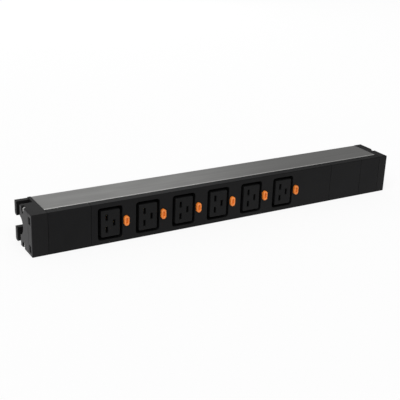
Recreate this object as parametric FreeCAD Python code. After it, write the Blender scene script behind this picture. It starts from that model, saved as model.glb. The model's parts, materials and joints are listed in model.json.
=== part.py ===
import FreeCAD, Part
import math
import os

# Rack power distribution unit, one rack unit high, lying on its base.
# Millimetres. X runs along the unit to the right, Y from the front to the back, Z up.
# The origin is the middle of the base. Depths are counted back from the front face.

# Lengths of the sections along the unit, from the left end to the right end
LEFT_CAP_LENGTH = 16.8
BLANK_COVER_LENGTH = 44.6
PANEL_LEAD = 20.3
PANEL_TAIL = 66.5
TERMINAL_COVER_LENGTH = 43.8
CABLE_COVER_LENGTH = 27.8
RIGHT_CAP_LENGTH = 11.2

# Cross-section
BODY_DEPTH = 48.0
BAND_DEPTH = 9.3
EDGE_RADIUS = 0.8
SEAM_GAP = 0.4

# Aluminium profile
PROFILE_WALL = 2.0
PROFILE_CORNER = 1.2
PROFILE_CHAMFER = 0.4
WEB_WALL = 1.6
LIP_WALL = 3.0
SLOT_MOUTH = 13.0
SLOT_DEPTH = 12.4
PORT_WALL = 1.45
PORT_COVER = 1.75
PORT_OPENING = 1.6

# Front mouldings
FRONT_WALL = 2.4
FLANGE_WALL = 2.0
FLANGE_STEP = 2.8
TONGUE_LENGTH = 4.0
TONGUE_WALL = 1.3
TONGUE_CLEARANCE = 0.1

# Outlets
OUTLET_COUNT = 6
OUTLET_SPACE = 13.0
OUTLET_WIDTH = 26.8
OUTLET_HEIGHT = 34.6
OUTLET_CORNER = 3.0
TRENCH_WIDTH = 3.2
TRENCH_DEPTH = 18.0
ISLAND_PROUD = 1.0
ISLAND_EDGE = 0.5
ISLAND_FACE_WALL = 4.0
INSERT_WALL = 1.0
INSERT_FLOOR = 1.6
INSERT_ROOM = 0.3
PIN_SPACING = 13.0
EARTH_OFFSET = 8.0
PIN_SLOT_WIDTH = 2.4
PIN_SLOT_HEIGHT = 6.6
PIN_LEAD_IN = 0.4
PIN_LEAD_RIM = 0.1
POCKET_WIDTH = 4.6
POCKET_HEIGHT = 8.2

# Release buttons
BUTTON_GAP = 0.3
BUTTON_WIDTH = 5.4
BUTTON_HEIGHT = 10.5
BUTTON_PROUD = 2.8
BUTTON_TRAVEL = 2.5
BUTTON_CLEARANCE = 0.2
BUTTON_EDGE = 0.7
THUMB_WIDTH = 2.4
THUMB_HEIGHT = 6.0
THUMB_SLOPE = 0.4
THUMB_DEPTH = 2.0
STOP_OVERHANG = 1.7
STOP_WALL = 1.4
STOP_GAP = 0.1
STEM_HEIGHT = 8.4
STEM_LEFT = 0.2
STEM_TIP_WIDTH = 0.8
STEM_ROOT_LEFT = 2.3
RAMP_OVERRUN = 2.1

# Lock pawls, drawn back by the ramp on the button's stem
PAWL_RATIO = 0.5
PAWL_DEPTH = 9.0
PAWL_THICKNESS = 2.5
PAWL_BAR = 1.3
PAWL_SIDE_BAR = 2.0
PAWL_BITE = 0.6
PAWL_TONGUE_HEIGHT = 8.0
PAWL_GAP = 0.3
RAIL_WALL = 1.4
RAIL_GRIP = 1.0
RAIL_SIDE_GAP = 0.1

# Leaf springs behind the buttons
SPRING_STRIP = 0.4
SPRING_WIDTH = 8.8
SPRING_REACH = 4.2
SPRING_TAIL = 2.6
SPRING_BEND = 0.9
SPRING_SEAT_GAP = 0.05

# Busbars and contacts
BUSBAR_WALL = 1.0
BUSBAR_HEIGHT = 5.0
BUSBAR_LEAD = 8.0
LEAF_HEIGHT = 5.8
LEAF_STRIP = 0.5
LEAF_SPREAD = 1.35
LEAF_WAIST = 1.1
LEAF_MOUTH = 1.6
LEAF_LEAD_IN = 2.7
LEAF_ARM = 4.0
LEAF_FACE_GAP = 1.2

# Insulating contact carrier
CARRIER_WALL = 1.8
CARRIER_END = 3.2
RIB_WALL = 1.2
RIB_GAP = 0.65
POST_WIDTH = 4.0
POST_GAP = 1.0
POST_BAR_GAP = 0.3
PAD_RISE = 0.8
PAD_HEIGHT = 1.5

# Supply terminals
BLOCK_INSET = 5.0
BLOCK_FRONT = 8.0
BLOCK_LID = 2.0
BLOCK_LEG = 2.0
BLOCK_MOUTH = 5.0
BLOCK_PARTITION = 0.9
CLAMP_BLOCK_INSET = 5.0
CLAMP_BLOCK_LENGTH = 20.0
CLAMP_BLOCK_GAP = 0.1
WIRE_HOLE = 4.4
TERMINAL_SCREW_RADIUS = 1.95
TERMINAL_HEAD_RADIUS = 2.4
TERMINAL_HEAD_HEIGHT = 1.6
SCREW_GAP = 0.05

# Earth bond
STRAP_WALL = 0.8
STRAP_WIDTH = 5.0
STRAP_GAP = 6.5
STRAP_LAP = 8.0
STRAP_FOOT = 12.0
BOND_SCREW_RADIUS = 1.95
BOND_HEAD_RADIUS = 3.4
BOND_HEAD_HEIGHT = 2.4

# Cable entry and cord clamp
CABLE_RADIUS = 6.5
GROMMET_WALL = 2.0
GROMMET_FLANGE = 2.0
GROMMET_LIP = 1.4
GROMMET_GAP = 0.1
SADDLE_INSET = 4.0
SADDLE_LENGTH = 10.0
SADDLE_INNER_WALL = 1.55
SADDLE_OUTER_WALL = 0.75
CORD_BAR_WALL = 3.0
CORD_BAR_GAP = 1.0
CORD_HEAD_ROOM = 1.7
CORD_SCREW_RADIUS = 1.9
CORD_SCREW_GRIP = 9.0

# End caps
CAP_WALL = 2.2
CAP_PLATE = 3.2
CAP_BOSS_WALL = 2.4
CAP_TONGUE_WIDTH = 5.5
CAP_TONGUE_WALL = 2.0
CAP_TONGUE_REACH = 5.0
CAP_TONGUE_GAP = 0.15
CAP_TONGUE_FRONT_GAP = 0.7
CAP_TONGUE_BACK_GAP = 2.1
LATCH_START = 2.2
LATCH_WIDTH = 5.5
LATCH_HEIGHT = 7.6
LATCH_INSET = 3.5
LATCH_DEPTH = 0.9
CAP_GROOVE = 0.5
HOOK_INSET = 0.8
HOOK_WALL = 5.4
HOOK_CORNER = 2.5
HOOK_BACK_PLATE = 3.3
NOTCH_RADIUS = 10.0
NOTCH_DEPTH = 8.2
PASSAGE_HEIGHT = 27.4
RECESS_SIDE_GAP = 0.5
RECESS_SPARE_DEPTH = 1.0
CAP_SCREW_RADIUS = 1.6
CAP_SCREW_CLEARANCE = 0.5
CAP_SCREW_BITE_GAP = 0.15
CAP_SCREW_GRIP = 9.0
CAP_HEAD_RADIUS = 2.8
CAP_HEAD_HEIGHT = 2.0
CAP_HEAD_EDGE = 0.7

# Two places closer than this count as the same
TOLERANCE = 1e-4

# Heights worked out from the sizes above
TONGUE_OUT = PROFILE_WALL + TONGUE_CLEARANCE
TONGUE_IN = TONGUE_OUT + TONGUE_WALL
INSERT_HEIGHT = OUTLET_HEIGHT + 2 * INSERT_WALL
BODY_HEIGHT = INSERT_HEIGHT + 2 * (INSERT_ROOM + TONGUE_IN)
MID_HEIGHT = BODY_HEIGHT / 2
BUSBAR_SPACING = BUSBAR_HEIGHT + RIB_WALL + 2 * RIB_GAP
POST_SPACING = 2 * (BUSBAR_SPACING + BUSBAR_HEIGHT / 2 + POST_BAR_GAP) + POST_WIDTH
CARRIER_HEIGHT = POST_SPACING + POST_WIDTH
CLAMP_BLOCK_HEIGHT = BUSBAR_SPACING - BLOCK_PARTITION - 2 * CLAMP_BLOCK_GAP
BLOCK_HEIGHT = 2 * (BUSBAR_SPACING + CLAMP_BLOCK_HEIGHT / 2 + CLAMP_BLOCK_GAP + BLOCK_LEG)
CORD_SCREW_SPACING = 2 * (CABLE_RADIUS + SADDLE_INNER_WALL + CORD_SCREW_RADIUS + SCREW_GAP)
SADDLE_HEIGHT = CORD_SCREW_SPACING + 2 * (CORD_SCREW_RADIUS + SCREW_GAP + SADDLE_OUTER_WALL)

# Screws of the end caps and the ports that they bite into
PORT_BORE_RADIUS = CAP_SCREW_RADIUS + CAP_SCREW_BITE_GAP
PORT_RADIUS = PORT_BORE_RADIUS + PORT_WALL
PORT_INSET = PORT_BORE_RADIUS + PORT_COVER
PORT_HEIGHTS = (PORT_INSET, BODY_HEIGHT - PORT_INSET)
CAP_SCREW_HOLE = CAP_SCREW_RADIUS + CAP_SCREW_CLEARANCE
RECESS_RADIUS = CAP_HEAD_RADIUS + RECESS_SIDE_GAP
RECESS_DEPTH = CAP_HEAD_HEIGHT + RECESS_SPARE_DEPTH

# Depths worked out from the sizes above
WEB_BACK = BODY_DEPTH - LIP_WALL - SLOT_DEPTH
WEB_DEPTH = WEB_BACK - WEB_WALL
INSERT_BACK = TRENCH_DEPTH + INSERT_FLOOR
BUSBAR_BACK = INSERT_BACK + BUSBAR_WALL
STOP_BACK = FRONT_WALL + STOP_GAP + STOP_WALL
PAWL_BACK = PAWL_DEPTH + PAWL_THICKNESS
PAWL_TRAVEL = PAWL_RATIO * BUTTON_TRAVEL
RAMP_START = PAWL_DEPTH - BUTTON_TRAVEL - RAIL_SIDE_GAP
RAMP_END = PAWL_BACK + RAMP_OVERRUN
SPRING_SEAT = INSERT_BACK - PAD_RISE
TONGUE_END = BAND_DEPTH + TONGUE_LENGTH
CAP_TONGUE_START = TONGUE_END + CAP_TONGUE_FRONT_GAP
CAP_TONGUE_END = CAP_TONGUE_START + CAP_TONGUE_WIDTH
PORT_DEPTH = CAP_TONGUE_END + CAP_TONGUE_BACK_GAP + PORT_RADIUS
CAP_BOSS_DEPTH = PORT_DEPTH - CAP_SCREW_HOLE - CAP_BOSS_WALL
HOOK_FRONT = BODY_DEPTH - HOOK_WALL
CORD_BAR_FRONT = FRONT_WALL + CORD_HEAD_ROOM + BOND_HEAD_HEIGHT
CABLE_DEPTH = CORD_BAR_FRONT + CORD_BAR_WALL + CABLE_RADIUS
CLAMP_BLOCK_FRONT = BLOCK_FRONT + BLOCK_LID + CLAMP_BLOCK_GAP
WIRE_DEPTH = (CLAMP_BLOCK_FRONT + INSERT_BACK) / 2

# Places along the unit, worked out from the sizes above
INSERT_HALF = OUTLET_WIDTH / 2 + INSERT_WALL
OUTLET_PITCH = 2 * INSERT_HALF + OUTLET_SPACE
PANEL_LENGTH = PANEL_LEAD + (OUTLET_COUNT - 1) * OUTLET_PITCH + PANEL_TAIL
PROFILE_LENGTH = BLANK_COVER_LENGTH + PANEL_LENGTH + TERMINAL_COVER_LENGTH + CABLE_COVER_LENGTH
BODY_LENGTH = LEFT_CAP_LENGTH + PROFILE_LENGTH + RIGHT_CAP_LENGTH
LEFT_END = -BODY_LENGTH / 2
RIGHT_END = BODY_LENGTH / 2
PROFILE_START = LEFT_END + LEFT_CAP_LENGTH
PANEL_START = PROFILE_START + BLANK_COVER_LENGTH
PANEL_END = PANEL_START + PANEL_LENGTH
TERMINAL_END = PANEL_END + TERMINAL_COVER_LENGTH
PROFILE_END = TERMINAL_END + CABLE_COVER_LENGTH
OUTLET_CENTRES = [PANEL_START + PANEL_LEAD + n * OUTLET_PITCH for n in range(OUTLET_COUNT)]
BUTTON_OFFSET = INSERT_HALF + BUTTON_GAP + BUTTON_WIDTH / 2
POST_OFFSET = OUTLET_PITCH - INSERT_HALF - POST_GAP - POST_WIDTH / 2
CARRIER_START = OUTLET_CENTRES[0] - INSERT_HALF
CARRIER_STOP = OUTLET_CENTRES[-1] + POST_OFFSET + POST_WIDTH / 2 + CARRIER_END
STRAP_START = CARRIER_STOP + STRAP_GAP
STRAP_BEND = STRAP_START + STRAP_LAP
BOND_SCREW_X = STRAP_BEND + STRAP_FOOT / 2
BLOCK_START = PANEL_END + BLOCK_INSET
CLAMP_START = BLOCK_START + CLAMP_BLOCK_INSET
CLAMP_END = CLAMP_START + CLAMP_BLOCK_LENGTH
BLOCK_END = CLAMP_END + BLOCK_MOUTH
TERMINAL_SCREW_X = (CLAMP_START + CLAMP_END) / 2
SADDLE_START = TERMINAL_END + SADDLE_INSET
SADDLE_SPAN = (SADDLE_START, SADDLE_START + SADDLE_LENGTH)
CORD_SCREW_X = sum(SADDLE_SPAN) / 2
GROMMET_NECK = CABLE_RADIUS + GROMMET_WALL
GROMMET_RADIUS = GROMMET_NECK + GROMMET_FLANGE


def from_front(depth):
    """Y of a place that lies the given depth behind the front face."""
    return depth - BODY_DEPTH / 2


def vector(x, depth, z):
    return FreeCAD.Vector(x, from_front(depth), z)


def block(x_span, depth_span, z_span):
    """Rectangular block between three pairs of limits."""
    size = [high - low for low, high in (x_span, depth_span, z_span)]
    return Part.makeBox(*size, vector(x_span[0], depth_span[0], z_span[0]))


def rod_x(radius, x_span, depth, z):
    """Round rod along the unit."""
    start = vector(x_span[0], depth, z)
    return Part.makeCylinder(radius, x_span[1] - x_span[0], start, FreeCAD.Vector(1, 0, 0))


def rod_y(radius, depth_span, x, z):
    """Round rod from front to back."""
    start = vector(x, depth_span[0], z)
    return Part.makeCylinder(radius, depth_span[1] - depth_span[0], start, FreeCAD.Vector(0, 1, 0))


def prism_x(points, x_span):
    """Outline of (depth, height) points carried along the unit."""
    corners = [vector(x_span[0], depth, z) for depth, z in points]
    face = Part.Face(Part.makePolygon(corners + corners[:1]))
    return face.extrude(FreeCAD.Vector(x_span[1] - x_span[0], 0, 0))


def prism_z(points, z_span):
    """Outline of (x, depth) points carried upwards."""
    corners = [vector(x, depth, z_span[0]) for x, depth in points]
    face = Part.Face(Part.makePolygon(corners + corners[:1]))
    return face.extrude(FreeCAD.Vector(0, 0, z_span[1] - z_span[0]))


def around(centre, size):
    """Limits of a stretch of the given size about its centre."""
    return (centre - size / 2, centre + size / 2)


def same(a, b):
    return abs(a - b) < TOLERANCE


def rounded_wire(x, z, width, height, radius, depth):
    """Upright rectangle with round corners, as a closed wire at one depth."""
    left, right = around(x, width)
    low, high = around(z, height)
    bow = radius * (1 - math.sqrt(0.5))
    sides = [
        ((left + radius, low), (right - radius, low), (right - bow, low + bow)),
        ((right, low + radius), (right, high - radius), (right - bow, high - bow)),
        ((right - radius, high), (left + radius, high), (left + bow, high - bow)),
        ((left, high - radius), (left, low + radius), (left + bow, low + bow)),
    ]
    edges = []
    for index, side in enumerate(sides):
        start, end, arc_middle = [vector(a, depth, b) for a, b in side]
        next_start = sides[(index + 1) % len(sides)][0]
        arc_end = vector(next_start[0], depth, next_start[1])
        if not same(start.distanceToPoint(end), 0):
            edges.append(Part.LineSegment(start, end).toShape())
        edges.append(Part.Arc(end, arc_middle, arc_end).toShape())
    return Part.Wire(edges)


def rounded_block(x, z, width, height, radius, depth_span):
    """Upright rounded rectangle carried from front to back."""
    face = Part.Face(rounded_wire(x, z, width, height, radius, depth_span[0]))
    return face.extrude(FreeCAD.Vector(0, depth_span[1] - depth_span[0], 0))


def end_radius(width, height):
    """Corner radius that gives a rectangle fully round ends."""
    return min(width, height) / 2


def bent_strip(points, thickness, z_span):
    """Strip of sheet metal that follows (x, depth) points, with mitred bends."""
    half = thickness / 2
    sides = ([], [])
    for index, (x, depth) in enumerate(points):
        normals = []
        for a, b in ((index - 1, index), (index, index + 1)):
            if a >= 0 and b < len(points):
                step = (points[b][0] - points[a][0], points[b][1] - points[a][1])
                length = math.hypot(*step)
                normals.append((-step[1] / length, step[0] / length))
        mitre = [sum(normal[axis] for normal in normals) for axis in range(2)]
        scale = half * len(normals) / (mitre[0] ** 2 + mitre[1] ** 2)
        sides[0].append((x + mitre[0] * scale, depth + mitre[1] * scale))
        sides[1].append((x - mitre[0] * scale, depth - mitre[1] * scale))
    return prism_z(sides[0] + sides[1][::-1], z_span)


def edges_near(shape, test):
    """Edges of a shape whose middle passes a test on (x, depth, z)."""
    chosen = []
    for edge in shape.Edges:
        middle = edge.CenterOfMass
        if test(middle.x, middle.y + BODY_DEPTH / 2, middle.z):
            chosen.append(edge)
    return chosen


def on_top_or_base(z):
    return same(z, 0) or same(z, BODY_HEIGHT)


def one_solid(shape):
    """Merge faces that lie in one surface and keep the single solid."""
    return shape.removeSplitter().Solids[0]


def aluminium_profile():
    """Extruded housing: walls, web, T-slot along the back and a screw port in each wall."""
    along = (PROFILE_START, PROFILE_END)
    inner = (PROFILE_WALL, BODY_HEIGHT - PROFILE_WALL)
    body = block(along, (BAND_DEPTH, BODY_DEPTH), (0, BODY_HEIGHT))
    rear_edges = edges_near(body, lambda x, d, z: same(d, BODY_DEPTH) and on_top_or_base(z))
    body = body.makeFillet(PROFILE_CORNER, rear_edges)
    front_edges = edges_near(body, lambda x, d, z: same(d, BAND_DEPTH) and on_top_or_base(z))
    body = body.makeChamfer(PROFILE_CHAMFER, front_edges)
    body = body.cut(block(along, (BAND_DEPTH, WEB_DEPTH), inner))
    body = body.cut(block(along, (WEB_BACK, BODY_DEPTH - LIP_WALL), inner))
    body = body.cut(block(along, (BODY_DEPTH - LIP_WALL, BODY_DEPTH), around(MID_HEIGHT, SLOT_MOUTH)))
    for height in PORT_HEIGHTS:
        body = body.fuse(rod_x(PORT_RADIUS, along, PORT_DEPTH, height))
    for height in PORT_HEIGHTS:
        opening = sorted((height, MID_HEIGHT))
        body = body.cut(rod_x(PORT_BORE_RADIUS, along, PORT_DEPTH, height))
        body = body.cut(block(along, around(PORT_DEPTH, PORT_OPENING), opening))
    bond_hole = rod_y(BOND_SCREW_RADIUS + SCREW_GAP, (WEB_DEPTH, WEB_BACK), BOND_SCREW_X, MID_HEIGHT)
    return one_solid(body.cut(bond_hole))


def front_moulding(start, end):
    """Front wall with an upper and a lower flange, each with a tongue inside the profile's wall."""
    along = (start + SEAM_GAP / 2, end - SEAM_GAP / 2)
    flange_end = BAND_DEPTH - SEAM_GAP / 2
    step = flange_end - FLANGE_STEP
    lower = [
        (0, 0), (flange_end, 0), (flange_end, TONGUE_OUT), (TONGUE_END, TONGUE_OUT),
        (TONGUE_END, TONGUE_IN), (step, TONGUE_IN), (step, FLANGE_WALL), (FRONT_WALL, FLANGE_WALL),
    ]
    upper = [(depth, BODY_HEIGHT - z) for depth, z in reversed(lower)]
    shape = prism_x(lower + upper, along)
    front_edges = edges_near(shape, lambda x, d, z: same(d, 0) and on_top_or_base(z))
    return shape.makeFillet(EDGE_RADIUS, front_edges)


def outlet_panel():
    """Front moulding with an opening for each outlet and a hole for each button."""
    panel = front_moulding(PANEL_START, PANEL_END)
    through = (0, FRONT_WALL)
    width = BUTTON_WIDTH + 2 * BUTTON_CLEARANCE
    height = BUTTON_HEIGHT + 2 * BUTTON_CLEARANCE
    for centre in OUTLET_CENTRES:
        opening = rounded_block(centre, MID_HEIGHT, OUTLET_WIDTH, OUTLET_HEIGHT, OUTLET_CORNER, through)
        button_x = centre + BUTTON_OFFSET
        hole = rounded_block(button_x, MID_HEIGHT, width, height, end_radius(width, height), through)
        panel = panel.cut(opening).cut(hole)
    return one_solid(panel)


def contact_places(centre):
    """X and height of the line, neutral and earth contacts of the outlet at this centre."""
    power_x = centre - EARTH_OFFSET / 2
    earth_x = centre + EARTH_OFFSET / 2
    line = (power_x, MID_HEIGHT + PIN_SPACING / 2)
    neutral = (power_x, MID_HEIGHT - PIN_SPACING / 2)
    return line, neutral, (earth_x, MID_HEIGHT)


def slot_end():
    """Depth of the back of the pin slots."""
    return ISLAND_FACE_WALL - ISLAND_PROUD


def pin_slot(x, z):
    """Slot for one pin, with a mouth that tapers to the slot's own size."""
    slot = block(around(x, PIN_SLOT_WIDTH), (-ISLAND_PROUD, slot_end()), around(z, PIN_SLOT_HEIGHT))
    mouth_back = PIN_LEAD_IN + PIN_LEAD_RIM - ISLAND_PROUD
    mouth_x = around(x, PIN_SLOT_WIDTH + 2 * PIN_LEAD_IN)
    mouth = block(mouth_x, (-ISLAND_PROUD, mouth_back), around(z, PIN_SLOT_HEIGHT + 2 * PIN_LEAD_IN))
    mouth = mouth.makeChamfer(PIN_LEAD_IN, edges_near(mouth, lambda a, d, b: same(d, mouth_back)))
    return slot.fuse(mouth)


def pawl_half_height():
    return STEM_HEIGHT / 2 + PAWL_GAP + PAWL_SIDE_BAR


def outlet_insert(centre):
    """Cup behind the panel with a central island, pin slots, a pawl window and two pawl rails."""
    cup_depth = (FRONT_WALL, INSERT_BACK)
    cup = block(around(centre, 2 * INSERT_HALF), cup_depth, around(MID_HEIGHT, INSERT_HEIGHT))
    trench = (FRONT_WALL, TRENCH_DEPTH)
    cup = cup.cut(rounded_block(centre, MID_HEIGHT, OUTLET_WIDTH, OUTLET_HEIGHT, OUTLET_CORNER, trench))
    island_width = OUTLET_WIDTH - 2 * TRENCH_WIDTH
    island_height = OUTLET_HEIGHT - 2 * TRENCH_WIDTH
    island_depth = (-ISLAND_PROUD, INSERT_BACK)
    corner = max(OUTLET_CORNER - TRENCH_WIDTH / 2, EDGE_RADIUS)
    island = rounded_block(centre, MID_HEIGHT, island_width, island_height, corner, island_depth)
    island = island.makeChamfer(ISLAND_EDGE, edges_near(island, lambda x, d, z: same(d, -ISLAND_PROUD)))
    insert = cup.fuse(island)
    for x, z in contact_places(centre):
        pocket = block(around(x, POCKET_WIDTH), (slot_end(), INSERT_BACK), around(z, POCKET_HEIGHT))
        insert = insert.cut(pin_slot(x, z)).cut(pocket)
    wall_x = (centre + OUTLET_WIDTH / 2, centre + INSERT_HALF)
    window_depth = (PAWL_DEPTH - RAIL_SIDE_GAP, PAWL_BACK + RAIL_SIDE_GAP)
    window_height = PAWL_TONGUE_HEIGHT + 2 * PAWL_GAP
    insert = insert.cut(block(wall_x, window_depth, around(MID_HEIGHT, window_height)))
    rail_depth = (window_depth[0] - RAIL_WALL, window_depth[1] + RAIL_WALL)
    rail_end = pawl_right(centre) + PAWL_TRAVEL + PAWL_GAP
    for side in (-1, 1):
        grip = MID_HEIGHT + side * (pawl_half_height() - RAIL_GRIP)
        groove_end = MID_HEIGHT + side * (pawl_half_height() + PAWL_GAP)
        outside = groove_end + side * RAIL_WALL
        rail = block((sum(wall_x) / 2, rail_end), rail_depth, sorted((grip, outside)))
        groove = block((wall_x[1], rail_end), window_depth, sorted((grip, groove_end)))
        insert = insert.fuse(rail.cut(groove))
    return one_solid(insert)


def ramp_x(button_x, depth):
    """X of the ramp on a button's stem at a depth, with the button at rest."""
    return button_x + STEM_TIP_WIDTH - STEM_LEFT + PAWL_RATIO * (RAMP_END - depth)


def ramp_gap():
    """Gap along X that leaves the pawl's clearance square to the ramp."""
    return PAWL_GAP * math.hypot(1, PAWL_RATIO)


def release_button(centre):
    """Rounded cap with a sloped thumb recess, a stop behind the panel and a stem with the ramp."""
    x = centre + BUTTON_OFFSET
    cap_depth = (-BUTTON_PROUD, FRONT_WALL + STOP_GAP)
    radius = end_radius(BUTTON_WIDTH, BUTTON_HEIGHT)
    cap = rounded_block(x, MID_HEIGHT, BUTTON_WIDTH, BUTTON_HEIGHT, radius, cap_depth)
    cap = cap.makeChamfer(BUTTON_EDGE, edges_near(cap, lambda a, d, z: same(d, -BUTTON_PROUD)))
    recess = []
    for slope, depth in ((0, -BUTTON_PROUD), (THUMB_SLOPE, THUMB_DEPTH - BUTTON_PROUD)):
        width = THUMB_WIDTH - 2 * slope
        height = THUMB_HEIGHT - 2 * slope
        recess.append(rounded_wire(x, MID_HEIGHT, width, height, end_radius(width, height), depth))
    cap = cap.cut(Part.makeLoft(recess, True, True))
    stop_x = around(x, BUTTON_WIDTH - 2 * BUTTON_CLEARANCE)
    stop_height = BUTTON_HEIGHT + 2 * STOP_OVERHANG
    stop = block(stop_x, (FRONT_WALL + STOP_GAP, STOP_BACK), around(MID_HEIGHT, stop_height))
    stem = prism_z([
        (x - STEM_ROOT_LEFT, STOP_BACK), (stop_x[1], STOP_BACK), (ramp_x(x, RAMP_START), RAMP_START),
        (ramp_x(x, RAMP_END), RAMP_END), (x - STEM_LEFT, RAMP_END), (x - STEM_LEFT, RAMP_START),
        (x - STEM_ROOT_LEFT, (STOP_BACK + RAMP_START) / 2),
    ], around(MID_HEIGHT, STEM_HEIGHT))
    return one_solid(cap.fuse(stop).fuse(stem))


def pawl_right(centre):
    """X of a pawl's right edge at rest."""
    return ramp_x(centre + BUTTON_OFFSET, PAWL_DEPTH) + ramp_gap() + PAWL_BAR


def lock_pawl(centre):
    """Steel plate round the button's stem, with a sloped edge on the ramp and a tongue into the trench."""
    x = centre + BUTTON_OFFSET
    hole_left = x - STEM_LEFT - PAWL_TRAVEL - PAWL_GAP
    left = centre + INSERT_HALF + PAWL_GAP
    depth_span = (PAWL_DEPTH, PAWL_BACK)
    plate = block((left, pawl_right(centre)), depth_span, around(MID_HEIGHT, 2 * pawl_half_height()))
    wall = centre + OUTLET_WIDTH / 2
    tongue = prism_z([
        (wall - PAWL_BITE, PAWL_DEPTH), (left, PAWL_DEPTH), (left, PAWL_BACK), (wall, PAWL_BACK),
    ], around(MID_HEIGHT, PAWL_TONGUE_HEIGHT))
    hole = prism_z([
        (hole_left, PAWL_DEPTH), (ramp_x(x, PAWL_DEPTH) + ramp_gap(), PAWL_DEPTH),
        (ramp_x(x, PAWL_BACK) + ramp_gap(), PAWL_BACK), (hole_left, PAWL_BACK),
    ], around(MID_HEIGHT, STEM_HEIGHT + 2 * PAWL_GAP))
    return one_solid(plate.fuse(tongue).cut(hole))


def button_spring(centre):
    """Leaf spring folded to a V between the button's stem and the carrier's pads."""
    x = centre + BUTTON_OFFSET
    base = SPRING_SEAT - SPRING_SEAT_GAP - SPRING_STRIP / 2
    tip = RAMP_END + SPRING_SEAT_GAP + SPRING_STRIP
    return bent_strip([
        (x - STEM_LEFT, tip), (x + SPRING_REACH, base - SPRING_BEND),
        (x + SPRING_REACH - SPRING_BEND / 2, base), (x - SPRING_TAIL, base),
    ], SPRING_STRIP, around(MID_HEIGHT, SPRING_WIDTH))


def contact_leaves(x, z):
    """Pair of springy leaves that grip a pin: spread at the root, pinched near the mouth."""
    mouth = slot_end() + LEAF_FACE_GAP
    waist = mouth + LEAF_LEAD_IN
    leaves = []
    for side in (-1, 1):
        points = [
            (x + side * LEAF_MOUTH, mouth), (x + side * LEAF_WAIST, waist),
            (x + side * LEAF_SPREAD, waist + LEAF_ARM), (x + side * LEAF_SPREAD, INSERT_BACK),
        ]
        leaves.append(bent_strip(points, LEAF_STRIP, around(z, LEAF_HEIGHT)))
    return leaves


def busbar(pole, height):
    """Brass strip on the backs of the inserts with a pair of contact leaves for each outlet."""
    along = (OUTLET_CENTRES[0] - BUSBAR_LEAD, CLAMP_END)
    strip = block(along, (INSERT_BACK, BUSBAR_BACK), around(height, BUSBAR_HEIGHT))
    leaves = []
    for centre in OUTLET_CENTRES:
        leaves += contact_leaves(*contact_places(centre)[pole])
    return one_solid(strip.fuse(leaves))


def contact_carrier():
    """Insulating strip behind the busbars with ribs between them, posts to the panel and spring pads."""
    along = (CARRIER_START, CARRIER_STOP)
    plate = block(along, (BUSBAR_BACK, BUSBAR_BACK + CARRIER_WALL), around(MID_HEIGHT, CARRIER_HEIGHT))
    additions = []
    for side in (-1, 1):
        rib = MID_HEIGHT + side * BUSBAR_SPACING / 2
        post_height = MID_HEIGHT + side * POST_SPACING / 2
        additions.append(block(along, (INSERT_BACK, BUSBAR_BACK), around(rib, RIB_WALL)))
        for centre in OUTLET_CENTRES:
            x = centre + BUTTON_OFFSET
            post_x = around(centre + POST_OFFSET, POST_WIDTH)
            post_z = around(post_height, POST_WIDTH)
            additions.append(block(post_x, (FRONT_WALL, BUSBAR_BACK), post_z))
            pad_x = (x - SPRING_TAIL, x + SPRING_REACH)
            additions.append(block(pad_x, (SPRING_SEAT, BUSBAR_BACK), around(rib, PAD_HEIGHT)))
    return one_solid(plate.fuse(additions))


def pole_heights():
    """Heights of the line, earth and neutral busbars."""
    return [MID_HEIGHT + step * BUSBAR_SPACING for step in (1, 0, -1)]


def terminal_block():
    """Insulating block with a chamber for each pole, open to the right, and legs to the web."""
    along = (BLOCK_START, BLOCK_END)
    lid = (BLOCK_FRONT, BLOCK_FRONT + BLOCK_LID)
    body = block(along, (BLOCK_FRONT, INSERT_BACK), around(MID_HEIGHT, BLOCK_HEIGHT))
    for side in (-1, 1):
        foot = MID_HEIGHT + side * BLOCK_HEIGHT / 2
        body = body.fuse(block(along, (BLOCK_FRONT, WEB_DEPTH), sorted((foot, foot - side * BLOCK_LEG))))
    for height in pole_heights():
        chamber_x = (CLAMP_START - CLAMP_BLOCK_GAP, BLOCK_END)
        chamber_z = around(height, CLAMP_BLOCK_HEIGHT + 2 * CLAMP_BLOCK_GAP)
        body = body.cut(block(chamber_x, (lid[1], INSERT_BACK), chamber_z))
        body = body.cut(rod_y(TERMINAL_HEAD_RADIUS + CLAMP_BLOCK_GAP, lid, TERMINAL_SCREW_X, height))
    return one_solid(body)


def terminal_clamps():
    """Brass tunnels that take the supply cord's wires, one for each pole."""
    along = (CLAMP_START, CLAMP_END)
    thread_depth = (CLAMP_BLOCK_FRONT, WIRE_DEPTH)
    clamps = []
    for height in pole_heights():
        clamp = block(along, (CLAMP_BLOCK_FRONT, INSERT_BACK), around(height, CLAMP_BLOCK_HEIGHT))
        clamp = clamp.cut(block(along, around(WIRE_DEPTH, WIRE_HOLE), around(height, WIRE_HOLE)))
        thread = rod_y(TERMINAL_SCREW_RADIUS + SCREW_GAP, thread_depth, TERMINAL_SCREW_X, height)
        clamps.append(one_solid(clamp.cut(thread)))
    return Part.makeCompound(clamps)


def headed_screw(head_radius, head_depth, shank_radius, tip, x, z):
    """Screw that points to the back: a round head and a plain shank."""
    head = rod_y(head_radius, head_depth, x, z)
    return one_solid(head.fuse(rod_y(shank_radius, (head_depth[1], tip), x, z)))


def terminal_screws():
    """Screws that press the wires in the clamps."""
    seat = BLOCK_FRONT + BLOCK_LID
    head_depth = (seat - TERMINAL_HEAD_HEIGHT, seat)
    tip = WIRE_DEPTH - WIRE_HOLE / 4
    screws = []
    for height in pole_heights():
        screws.append(headed_screw(TERMINAL_HEAD_RADIUS, head_depth, TERMINAL_SCREW_RADIUS, tip,
                                   TERMINAL_SCREW_X, height))
    return Part.makeCompound(screws)


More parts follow.
